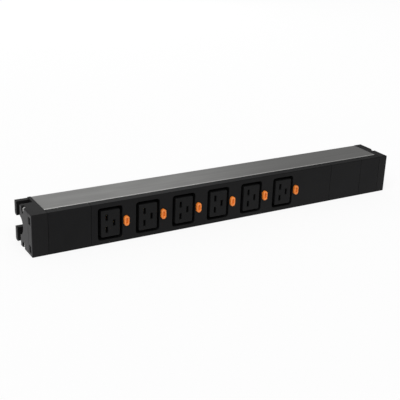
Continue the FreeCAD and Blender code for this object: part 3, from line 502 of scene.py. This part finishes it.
class WornFinish(Finish):
    """Finish with noises on the object's own coordinates and softly rounded edges that show wear; the
    aluminium paints that edge mask brighter also as a painted highlight.
    """

    # Noise values mostly lie between these two.
    NOISE_LOW = 0.3
    NOISE_HIGH = 0.7
    EDGE_SAMPLES = 4
    # Cosine of the turn between a face and its rounded edge at which wear is full.
    FULL_WEAR = 0.86
    # Share of an edge's wear that is left where the noise that breaks it up is low.
    LEAST_WEAR = 0.2

    def __init__(self, name, edge_radius):
        super().__init__(name)
        self.place = self.add("ShaderNodeTexCoord").outputs["Object"]
        rounding = self.add("ShaderNodeBevel", Radius=edge_radius)
        rounding.samples = self.EDGE_SAMPLES
        self.rounded = rounding.outputs["Normal"]

    def noise(self, frequency, detail):
        """Noise with its own frequency along each axis, in waves a metre."""
        mapping = self.add("ShaderNodeMapping", Vector=self.place, Scale=frequency)
        texture = self.add("ShaderNodeTexNoise", Vector=mapping.outputs["Vector"],
                           Scale=1.0, Detail=detail)
        return texture.outputs["Fac"]

    def mean(self, first, second):
        """Mean of two noises."""
        mix = self.add("ShaderNodeMix", Factor=0.5, A=first, B=second)
        return mix.outputs["Result"]

    def along(self, axis):
        """Place along one axis."""
        return self.add("ShaderNodeSeparateXYZ", Vector=self.place).outputs[axis]

    def edge_wear_and_highlight(self, value):
        """Mask of worn edges, which the aluminium also uses for a painted highlight: the rounded
        normal's turn from the face's own, broken up by a noise.
        """
        turn = self.tree.nodes.new("ShaderNodeVectorMath")
        turn.operation = "DOT_PRODUCT"
        self.feed(turn.inputs[0], self.rounded)
        self.feed(turn.inputs[1], self.add("ShaderNodeNewGeometry").outputs["Normal"])
        edge = self.span(turn.outputs["Value"], 1.0, self.FULL_WEAR, 0.0, 1.0)
        patches = self.span(value, self.NOISE_LOW, self.NOISE_HIGH, self.LEAST_WEAR, 1.0)
        return self.calculate("MULTIPLY", edge, patches)

    def cloudy(self, value, colour, spread):
        """Colour that a noise moves up and down by a share."""
        ramp = self.add("ShaderNodeValToRGB", Fac=value)
        low, high = ramp.color_ramp.elements
        low.position = self.NOISE_LOW
        high.position = self.NOISE_HIGH
        low.color = [channel * (1 - spread) for channel in colour] + [1.0]
        high.color = [min(channel * (1 + spread), 1.0) for channel in colour] + [1.0]
        return ramp.outputs["Color"]

    def blend(self, mask, first, second):
        """Colour that goes from the first to the second as a mask goes from 0 to 1."""
        mix = self.tree.nodes.new("ShaderNodeMix")
        mix.data_type = "RGBA"
        sockets = {socket.identifier: socket for socket in mix.inputs}
        self.feed(sockets["Factor_Float"], mask)
        self.feed(sockets["A_Color"], first)
        self.feed(sockets["B_Color"], second)
        return {socket.identifier: socket for socket in mix.outputs}["Result_Color"]

    def paint(self, colour, wear_and_highlight, brightness):
        """Base colour, brighter by a factor where the mask is 1: worn edges, and on the aluminium also a
        painted highlight.
        """
        brightened = self.add("ShaderNodeHueSaturation", Value=brightness, Color=colour).outputs["Color"]
        self.feed(self.shader.inputs["Base Color"], self.blend(wear_and_highlight, colour, brightened))

    def gloss(self, value, roughness, smoother, rougher):
        """Roughness that a noise makes smoother or rougher by up to these steps."""
        uneven = self.span(value, self.NOISE_LOW, self.NOISE_HIGH,
                           roughness - smoother, roughness + rougher)
        self.feed(self.shader.inputs["Roughness"], uneven)

    def relief(self, value, strength, depth):
        """Fine relief from a noise, with its depth in metres, over the softly rounded edges."""
        bump = self.add("ShaderNodeBump", Height=value, Strength=strength, Distance=depth,
                        Normal=self.rounded)
        self.feed(self.shader.inputs["Normal"], bump.outputs["Normal"])


def brushed_aluminium(name, colour, roughness):
    """Anodised aluminium with fine brush lines, broader die lines, edges painted brighter as wear and as
    a painted highlight, and a painted highlight along the front edges.
    """
    finish = WornFinish(name, edge_radius=0.0008)
    brush_lines = finish.noise(frequency=(14, 3200, 3200), detail=3)
    die_lines = finish.noise(frequency=(5, 420, 420), detail=4)
    clouds = finish.noise(frequency=(30, 90, 90), detail=3)
    front_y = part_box("aluminium_profile")[0].y
    # Painted highlight: a bright line along the profile's front edge, where its chamfer catches the
    # light.
    front_highlight = finish.span(finish.along("Y"), front_y, front_y + FRONT_HIGHLIGHT_WIDTH, 1.0, 0.0)
    wear_and_highlight = finish.calculate("MAXIMUM", finish.edge_wear_and_highlight(clouds), front_highlight)
    base = finish.cloudy(finish.mean(brush_lines, die_lines), colour, spread=0.13)
    finish.shader.inputs["Metallic"].default_value = 1.0
    # Painted highlight: the front line is wholly a painted highlight, painted 2.8 times brighter; the
    # other edges are partly wear and partly a painted highlight.
    finish.paint(base, wear_and_highlight, brightness=2.8)
    finish.gloss(finish.mean(brush_lines, clouds), roughness, smoother=0.06, rougher=0.06)
    finish.relief(brush_lines, strength=0.25, depth=0.00002)
    return finish.material


def grained_plastic(name, colour, reflection, roughness, end_light_colour=None):
    """Moulded plastic with a fine spark-eroded grain, faint cloudy shading and edges rubbed lighter.

    Where an end light colour is given, the unit's two end faces in front of the bracket slot have that
    lighter colour, a painted light that stands in for the light falling on them.
    """
    finish = WornFinish(name, edge_radius=0.0005)
    grain = finish.noise(frequency=(2600, 2600, 2600), detail=2)
    clouds = finish.noise(frequency=(60, 60, 60), detail=3)
    shading = finish.mean(grain, clouds)
    spread = 0.18
    base = finish.cloudy(shading, colour, spread)
    if end_light_colour is not None:
        # Painted light: the end faces take a lighter colour in place of the light that falls on them.
        base = finish.blend(lit_end_faces(finish), base, finish.cloudy(shading, end_light_colour, spread))
    finish.shader.inputs["Specular IOR Level"].default_value = reflection
    finish.paint(base, finish.edge_wear_and_highlight(clouds), brightness=1.6)
    finish.gloss(grain, roughness, smoother=0.06, rougher=0.08)
    finish.relief(grain, strength=0.3, depth=0.00004)
    return finish.material


def lit_end_faces(finish):
    """Mask of the painted light on the unit's end faces, by the distance from its middle, in front of
    the bracket slot.
    """
    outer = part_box("right_end_cap")[1].x
    openings = {row["name"]: row["box_m"] for row in frame["record"]["physics"]["openings"]}
    slot_y = openings["bracket_slot_through"][0][1]
    distance = finish.calculate("ABSOLUTE", finish.along("X"))
    outmost = finish.span(distance, outer - END_LIGHT_START, outer - END_LIGHT_FULL, 0.0, 1.0)
    in_front = finish.span(finish.along("Y"), slot_y, slot_y + END_LIGHT_FADE, 1.0, 0.0)
    return finish.calculate("MULTIPLY", outmost, in_front)


def plated_metal(name, colour, roughness):
    """Rolled or plated metal with fine scratches and a slightly uneven sheen."""
    finish = WornFinish(name, edge_radius=0.0002)
    scratches = finish.noise(frequency=(300, 1700, 1700), detail=4)
    clouds = finish.noise(frequency=(240, 240, 240), detail=2)
    base = finish.cloudy(finish.mean(scratches, clouds), colour, spread=0.12)
    finish.shader.inputs["Metallic"].default_value = 1.0
    finish.paint(base, finish.edge_wear_and_highlight(clouds), brightness=1.2)
    finish.gloss(clouds, roughness, smoother=0.07, rougher=0.1)
    finish.relief(scratches, strength=0.2, depth=0.00002)
    return finish.material


def dress_nodes(finishes):
    """Give every CAD node of a slot the slot's finish."""
    for row in frame["record"]["subparts"]:
        finish = finishes.get(row["material_slot"])
        if finish is not None:
            mesh = frame["nodes"][row["node"]].data
            mesh.materials.clear()
            mesh.materials.append(finish)


def obrounds(half_widths, straights, steps):
    """Rows of x and z: half width (cos a, sin a), moved up or down by half the straight side."""
    angle = np.concatenate([np.linspace(0, HALF_TURN, steps), np.linspace(HALF_TURN, FULL_TURN, steps)])
    lift = np.repeat([0.5, -0.5], steps)
    x = half_widths[:, None] * np.cos(angle)
    z = half_widths[:, None] * np.sin(angle) + straights[:, None] * lift
    return x, z


def button_cap(sizes, centre_x, face_y, centre_z):
    """Cap of a button: rows of obrounds, each with its half width, straight side and depth.

    The rows go up the side, over a round edge and a flat rim, and over a soft lip into the recess.
    """
    half = sizes.width / 2
    thumb = sizes.thumb_width / 2
    side = [[half, sizes.cap_depth]]
    edge = arc((half - sizes.edge, sizes.edge), sizes.edge, 0, -QUARTER_TURN, EDGE_STEPS)
    lip = arc((thumb + sizes.lip, sizes.lip), sizes.lip, -QUARTER_TURN, -HALF_TURN, LIP_STEPS)
    wall = [
        [thumb - KNEE_SLOPE * sizes.slope, KNEE_DEPTH * sizes.thumb_depth],
        [thumb - sizes.slope, sizes.thumb_depth],
    ]
    outer = np.concatenate([side, edge])
    inner = np.concatenate([lip, wall])
    straights = np.repeat([sizes.height - sizes.width, sizes.thumb_height - sizes.thumb_width],
                          [len(outer), len(inner)])
    rows = np.concatenate([outer, inner])
    x, z = obrounds(rows[:, 0], straights, HALF_CIRCLE_STEPS)
    depth = np.broadcast_to(rows[:, 1:], x.shape)
    return grid_shell(np.stack([centre_x + x, face_y + depth, centre_z + z], axis=-1))


def button_stop(sizes, centre_x, face_y, centre_z, height):
    """Plate with round corners behind the panel's wall, its outline carried to the back."""
    outline = rounded_outline(sizes.stop_width, height, sizes.edge, CORNER_STEPS) + [centre_x, centre_z]
    start = face_y + sizes.cap_depth
    return carried(outline, Y_AXIS, start, start + sizes.stop_wall)


def button_stem(sizes, centre_x, face_y, tip_y, centre_z):
    """Stem with the ramp that draws the pawl, as an outline of (x, y) points carried upwards."""
    root_y = face_y + sizes.cap_depth + sizes.stop_wall
    ramp_y = tip_y - sizes.ramp_length
    left = centre_x - sizes.tip_left
    tip_right = left + sizes.tip_width
    ramp_right = tip_right + sizes.ramp_ratio * sizes.ramp_length
    root_left = centre_x - sizes.root_left
    outline = np.array([
        (root_left, root_y), (centre_x + sizes.stop_width / 2, root_y), (ramp_right, ramp_y),
        (tip_right, tip_y), (left, tip_y), (left, ramp_y), (root_left, (root_y + ramp_y) / 2),
    ])
    half = sizes.stem_height / 2
    return carried(outline, Z_AXIS, centre_z - half, centre_z + half)


def spring_path(low, high, sizes):
    """Middle line of a folded leaf as (x, y): tip, sloping arm, round fold and flat tail on its seat."""
    half = sizes.strip / 2
    radius = sizes.bend
    seat = high.y - half
    fold = (high.x - half - radius, seat - radius)
    tip = np.array([low.x + sizes.tip_inset, low.y + TIP_LIFT * half])
    away = tip - fold
    reach = math.hypot(*away)
    leaving = math.atan2(away[1], away[0]) + math.acos(radius / reach)
    bend = arc(fold, radius, leaving, QUARTER_TURN, BEND_STEPS)
    tail = np.array([[low.x + half, seat]])
    return np.concatenate([[tip], bend, tail])


def leaf_spring(low, high, sizes):
    """Strip of even thickness: the path shifted by half a thickness along its normal to both sides."""
    path = spring_path(low, high, sizes)
    step = np.gradient(path, axis=0)
    normal = np.stack([-step[:, 1], step[:, 0]], axis=-1)
    normal *= sizes.strip / 2 / np.linalg.norm(normal, axis=1, keepdims=True)
    outline = np.concatenate([path + normal, (path - normal)[::-1]])
    return carried(outline, Z_AXIS, low.z, high.z)


def cross_recess(x, z, arm, width):
    """Depth of a cross recess at (x, z), from 0 to 1: the deeper of two bars with sloping walls."""
    wall = RECESS_WALL * width
    along_x = np.clip((width / 2 - np.abs(z)) / wall, 0, 1) * np.clip((arm - np.abs(x)) / wall, 0, 1)
    along_z = np.clip((width / 2 - np.abs(x)) / wall, 0, 1) * np.clip((arm - np.abs(z)) / wall, 0, 1)
    return np.maximum(along_x, along_z)


def screw_head(sizes, form, turn):
    """Rows of (radius, distance) of a head: a shallow dome less a cross recess, then a rounded side.

    The dome falls with the square of the radius, and the side is a quarter of an ellipse.
    """
    radius = form.head_radius
    height = form.head_height
    dome = sizes.dome_share * height
    top_radius = np.linspace(HEAD_CENTRE, sizes.crown_share, DOME_STEPS)[:, None] * radius
    recess = cross_recess(top_radius * np.cos(turn), top_radius * np.sin(turn),
                          sizes.recess_share * radius, sizes.slot_share * radius)
    top = dome * (top_radius / radius) ** 2 + sizes.recess_depth_share * height * recess
    side_angle = np.linspace(HEAD_SIDE_START, 1.0, HEAD_SIDE_STEPS)[:, None] * QUARTER_TURN
    side_radius = radius * (sizes.crown_share + (1 - sizes.crown_share) * np.sin(side_angle))
    side = dome + HEAD_SIDE_SHARE * height * (1 - np.cos(side_angle))
    flat = 0 * turn
    return np.concatenate([top_radius + flat, side_radius + flat]), np.concatenate([top, side + flat])


def screw_shank(sizes, form, turn):
    """Rows of (radius, distance) of a threaded shank.

    Its radius is less by the thread's depth times a triangle wave of distance / pitch - turn, and the
    last threads taper to the point.
    """
    start = form.head_height
    end = form.length
    count = int((end - start) / sizes.pitch * THREAD_STEPS)
    distance = np.linspace(start, end, count)[1:, None] + 0 * turn
    wave = np.abs(2 * np.mod(distance / sizes.pitch - turn / FULL_TURN, 1.0) - 1)
    taper = np.clip((end - distance) / (TAPER_THREADS * sizes.pitch), form.point, 1.0)
    return (form.shank_radius - sizes.thread * wave) * taper, distance


def screw(sizes, form, start, axis):
    """Closed shell of a screw whose head's top is at start and which points along an axis.

    Each point is start + distance times the axis + radius times the spoke at its turn.
    """
    turn = turns(sizes.sides)
    head, head_distance = screw_head(sizes, form, turn)
    shank, shank_distance = screw_shank(sizes, form, turn)
    collar = np.array([[form.head_radius], [form.shank_radius]]) + 0 * turn
    radius = np.concatenate([head, collar, shank])
    along = np.concatenate([head_distance, np.full_like(collar, form.head_height), shank_distance])
    across = np.cross(axis, Z_AXIS)
    upward = np.cross(across, axis)
    spokes = np.cos(turn)[..., None] * across + np.sin(turn)[..., None] * upward
    return grid_shell(np.array(start) + along[..., None] * np.array(axis) + radius[..., None] * spokes)


def grommet_profile(sizes, length, flange):
    """Closed outline of (distance along the bore, radius): two rounded flanges and a waist."""
    edge = sizes.edge
    return np.concatenate([
        arc((edge, sizes.bore + edge), edge, 3 * QUARTER_TURN, HALF_TURN, FLANGE_STEPS),
        arc((edge, flange - edge), edge, HALF_TURN, QUARTER_TURN, FLANGE_STEPS),
        arc((sizes.lip - edge, flange - edge), edge, QUARTER_TURN, 0, FLANGE_STEPS),
        [[sizes.lip, sizes.neck], [length - sizes.lip, sizes.neck]],
        arc((length - sizes.lip + edge, flange - edge), edge, HALF_TURN, QUARTER_TURN, FLANGE_STEPS),
        arc((length - edge, flange - edge), edge, QUARTER_TURN, 0, FLANGE_STEPS),
        arc((length - edge, sizes.bore + edge), edge, 0, -QUARTER_TURN, FLANGE_STEPS),
    ])


def grommet_ring(sizes, low, high):
    """Closed ring: the outline turned about the bore, at (distance, radius cos a, radius sin a)."""
    profile = grommet_profile(sizes, high.x - low.x, (high.z - low.z) / 2)
    turn = turns(sizes.sides)
    distance, radius = profile[:, :1], profile[:, 1:]
    return ring_shell(np.stack([
        low.x + distance + 0 * turn,
        (low.y + high.y) / 2 + radius * np.cos(turn),
        (low.z + high.z) / 2 + radius * np.sin(turn),
    ], axis=-1))


class RACKUNIT_OT_housing_finish(Operator):
    """Give the profile, the front mouldings, the outlets and the caps their finish"""

    bl_idname = "rackunit.housing_finish"
    bl_label = "Finish the housing"

    def execute(self, context):
        colours = settings().colours
        dress_nodes({
            "anodised_aluminium": brushed_aluminium(
                "anodised_aluminium", colours.aluminium, roughness=0.43),
            "black_moulding": grained_plastic(
                "black_moulding", colours.front, reflection=0.095, roughness=0.45),
            "cap_moulding": grained_plastic(
                "cap_moulding", colours.cap, reflection=0.11, roughness=0.45,
                end_light_colour=colours.cap_end_light),
            "outlet_moulding": grained_plastic(
                "outlet_moulding", colours.outlet, reflection=0.105, roughness=0.50),
            "orange_button": grained_plastic(
                "orange_button", colours.button, reflection=0.5, roughness=0.34),
            "grommet_rubber": grained_plastic(
                "grommet_rubber", colours.rubber, reflection=0.3, roughness=0.7),
        })
        return {"FINISHED"}


class RACKUNIT_OT_inside_finish(Operator):
    """Give the contacts, clamps, screws and insulators their finish"""

    bl_idname = "rackunit.inside_finish"
    bl_label = "Finish the inside"

    def execute(self, context):
        colours = settings().colours
        dress_nodes({
            "spring_steel": plated_metal("spring_steel", colours.steel, roughness=0.3),
            "zinc_steel": plated_metal("zinc_steel", colours.zinc, roughness=0.62),
            "contact_brass": plated_metal("contact_brass", colours.brass, roughness=0.32),
            "insulator": grained_plastic("insulator", colours.insulator, reflection=0.4, roughness=0.5),
        })
        return {"FINISHED"}


class RACKUNIT_OT_release_buttons(Operator):
    """Make the release buttons with round edges, a flat rim and a thumb recess"""

    bl_idname = "rackunit.release_buttons"
    bl_label = "Make the release buttons"

    def execute(self, context):
        sizes = settings().buttons
        for number in OUTLETS:
            node = f"release_button_{number}"
            low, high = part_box(node)
            centre_x = low.x + sizes.width / 2
            centre_z = (low.z + high.z) / 2
            shells = [
                button_cap(sizes, centre_x, low.y, centre_z),
                button_stop(sizes, centre_x, low.y, centre_z, high.z - low.z),
                button_stem(sizes, centre_x, low.y, high.y, centre_z),
            ]
            make_piece(f"{node}_moulding", shells, f"button_{number}", node)
        return {"FINISHED"}


class RACKUNIT_OT_button_springs(Operator):
    """Make the leaf springs with a round fold"""

    bl_idname = "rackunit.button_springs"
    bl_label = "Make the leaf springs"

    def execute(self, context):
        sizes = settings().springs
        for number in OUTLETS:
            node = f"button_spring_{number}"
            low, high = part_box(node)
            shells = [leaf_spring(low, high, sizes)]
            leaf = make_piece(f"{node}_leaf", shells, HOUSING, node)
            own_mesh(leaf)
        return {"FINISHED"}


class RACKUNIT_OT_cap_screws(Operator):
    """Make the end caps' screws with cross recesses and threads"""

    bl_idname = "rackunit.cap_screws"
    bl_label = "Make the end caps' screws"

    def execute(self, context):
        sizes = settings().screws
        low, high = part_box("end_cap_screws")
        radius = (high.y - low.y) / 2
        middle_y = (low.y + high.y) / 2
        ends = ((low.x, X_AXIS, sizes.left_length), (high.x, -X_AXIS, sizes.right_length))
        shells = []
        for start_x, axis, length in ends:
            form = ScrewForm(head_radius=radius, head_height=sizes.cap_head_height,
                             shank_radius=sizes.cap_shank_radius, length=length,
                             point=sizes.cap_point)
            for height in (low.z + radius, high.z - radius):
                shells.append(screw(sizes, form, (start_x, middle_y, height), axis))
        make_piece("end_cap_screws_threaded", shells, HOUSING, "end_cap_screws")
        return {"FINISHED"}


class RACKUNIT_OT_inside_screws(Operator):
    """Make the terminal, cord clamp and earth screws with cross recesses and threads"""

    bl_idname = "rackunit.inside_screws"
    bl_label = "Make the inside screws"

    def execute(self, context):
        sizes = settings().screws
        for row in INSIDE_SCREWS:
            low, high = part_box(row.node)
            radius = (high.x - low.x) / 2
            form = ScrewForm(head_radius=radius, head_height=row.head_height,
                             shank_radius=row.shank_radius, length=high.y - low.y,
                             point=sizes.inside_point)
            shells = []
            for height in np.linspace(low.z + radius, high.z - radius, row.count):
                shells.append(screw(sizes, form, (low.x + radius, low.y, height), Y_AXIS))
            make_piece(f"{row.node}_threaded", shells, HOUSING, row.node)
        return {"FINISHED"}


class RACKUNIT_OT_cable_grommet(Operator):
    """Make the cable grommet with round lips"""

    bl_idname = "rackunit.cable_grommet"
    bl_label = "Make the cable grommet"

    def execute(self, context):
        node = "cable_grommet"
        shells = [grommet_ring(settings().grommet, *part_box(node))]
        make_piece(f"{node}_lipped", shells, HOUSING, node)
        return {"FINISHED"}


def view_axes(studio):
    """Right, up and back directions of the camera from its azimuth, elevation and roll."""
    azimuth, elevation, roll = studio.azimuth, studio.elevation, studio.roll
    forward = Vector((math.sin(azimuth) * math.cos(elevation), math.cos(azimuth) * math.cos(elevation),
                      -math.sin(elevation)))
    level = Vector((math.cos(azimuth), -math.sin(azimuth), 0.0))
    upright = level.cross(forward)
    right = level * math.cos(roll) + upright * math.sin(roll)
    return right, right.cross(forward), -forward


def add_camera(studio):
    """Camera at the photograph's viewing angle."""
    data = bpy.data.cameras.new("camera")
    data.sensor_width = studio.sensor
    data.lens = studio.lens
    data.clip_start = CAMERA_CLIP
    camera = add_object("camera", data)
    turn = Matrix(view_axes(studio)).transposed()
    camera.matrix_world = Matrix.Translation(Vector(studio.camera_place)) @ turn.to_4x4()
    bpy.context.scene.camera = camera


def add_light(name, kind, place, target, strength):
    """Lamp that looks from its place at a target."""
    data = bpy.data.lights.new(name, kind)
    data.energy = strength
    lamp = add_object(name, data)
    lamp.location = place
    lamp.rotation_euler = (Vector(target) - Vector(place)).to_track_quat("-Z", "Y").to_euler()
    lamp.visible_camera = False
    return data


def add_lights(studio):
    """Soft sun from the front left, a low strip at the left end and a soft box behind."""
    sun = add_light("top_light", "SUN", studio.top_place, (0, 0, 0), studio.top_light)
    sun.angle = studio.top_spread
    low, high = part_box("left_end_cap")
    middle = (low.z + high.z) / 2
    side = add_light("side_light", "AREA", (*studio.side_place, middle), (low.x, 0.0, middle),
                     studio.side_light)
    side.shape = "RECTANGLE"
    side.size = studio.side_length
    side.size_y = studio.side_height_share * (high.z - low.z)
    back = add_light("back_light", "AREA", studio.back_place, studio.back_target, studio.back_light)
    back.size = studio.back_size


def add_world(scene, strength):
    """Even white light from all round."""
    world = bpy.data.worlds.new("studio")
    world.use_nodes = True
    background = world.node_tree.nodes["Background"]
    background.inputs["Color"].default_value = WHITE
    background.inputs["Strength"].default_value = strength
    scene.world = world


def floor_finish(colour, white_share):
    """Matt pale floor.

    The camera and reflections see it with a share of even white, so its shadow is faint.
    """
    finish = Finish("studio_floor")
    finish.shader.inputs["Roughness"].default_value = FLOOR_ROUGHNESS
    finish.shader.inputs["Specular IOR Level"].default_value = 0.0
    finish.shader.inputs["Base Color"].default_value = (*colour, 1.0)
    path = finish.add("ShaderNodeLightPath")
    seen = path.outputs["Is Camera Ray"]
    for kind in ("Is Glossy Ray", "Is Transmission Ray"):
        seen = finish.calculate("MAXIMUM", seen, path.outputs[kind])
    even = finish.add("ShaderNodeEmission", Color=WHITE, Strength=1.0)
    mix = finish.add("ShaderNodeMixShader", Fac=finish.span(seen, 0.0, 1.0, 0.0, white_share))
    finish.feed(mix.inputs[1], finish.shader.outputs["BSDF"])
    finish.feed(mix.inputs[2], even.outputs["Emission"])
    finish.feed(finish.tree.nodes["Material Output"].inputs["Surface"], mix.outputs["Shader"])
    return finish.material


def add_floor(studio):
    """Flat square floor at the unit's base."""
    half = studio.floor_size / 2
    mesh = bpy.data.meshes.new("studio_floor")
    corners = [(-half, -half, 0), (half, -half, 0), (half, half, 0), (-half, half, 0)]
    mesh.from_pydata(corners, [], [(0, 1, 2, 3)])
    mesh.materials.append(floor_finish(studio.floor_colour, studio.floor_white))
    floor = add_object("studio_floor", mesh)


class RACKUNIT_OT_stage(Operator):
    """Set the floor, the soft light and the camera"""

    bl_idname = "rackunit.stage"
    bl_label = "Set the stage"

    def execute(self, context):
        studio = settings().studio
        context.scene.view_settings.view_transform = "Standard"
        add_world(context.scene, studio.world_light)
        add_floor(studio)
        add_lights(studio)
        add_camera(studio)
        return {"FINISHED"}


class RACKUNIT_PT_panel(Panel):
    """Steps that dress the rack unit, in their order"""

    bl_idname = "RACKUNIT_PT_panel"
    bl_label = "Rack unit"
    bl_space_type = "VIEW_3D"
    bl_region_type = "UI"
    bl_category = "Rack unit"

    def draw(self, context):
        for step in STEPS:
            self.layout.operator(step.bl_idname)


STEPS = (
    RACKUNIT_OT_housing_finish,
    RACKUNIT_OT_inside_finish,
    RACKUNIT_OT_release_buttons,
    RACKUNIT_OT_button_springs,
    RACKUNIT_OT_cap_screws,
    RACKUNIT_OT_inside_screws,
    RACKUNIT_OT_cable_grommet,
    RACKUNIT_OT_stage,
)
CLASSES = (
    FinishColours, ButtonSizes, SpringSizes, ScrewSizes, GrommetSizes, StudioSettings, RackUnitSettings,
    *STEPS, RACKUNIT_PT_panel,
)


def register():
    """Register the classes and add the settings to the scene."""
    for entry in CLASSES:
        bpy.utils.register_class(entry)
    bpy.types.Scene.rack_unit = PointerProperty(type=RackUnitSettings)


def unregister():
    """Remove the settings and the classes again."""
    del bpy.types.Scene.rack_unit
    for entry in reversed(CLASSES):
        bpy.utils.unregister_class(entry)


def main():
    """Dress the unit step by step."""
    register()
    bpy.ops.rackunit.housing_finish()
    bpy.ops.rackunit.inside_finish()
    bpy.ops.rackunit.release_buttons()
    bpy.ops.rackunit.button_springs()
    bpy.ops.rackunit.cap_screws()
    bpy.ops.rackunit.inside_screws()
    bpy.ops.rackunit.cable_grommet()
    bpy.ops.rackunit.stage()


if __name__ == "__main__":
    main()
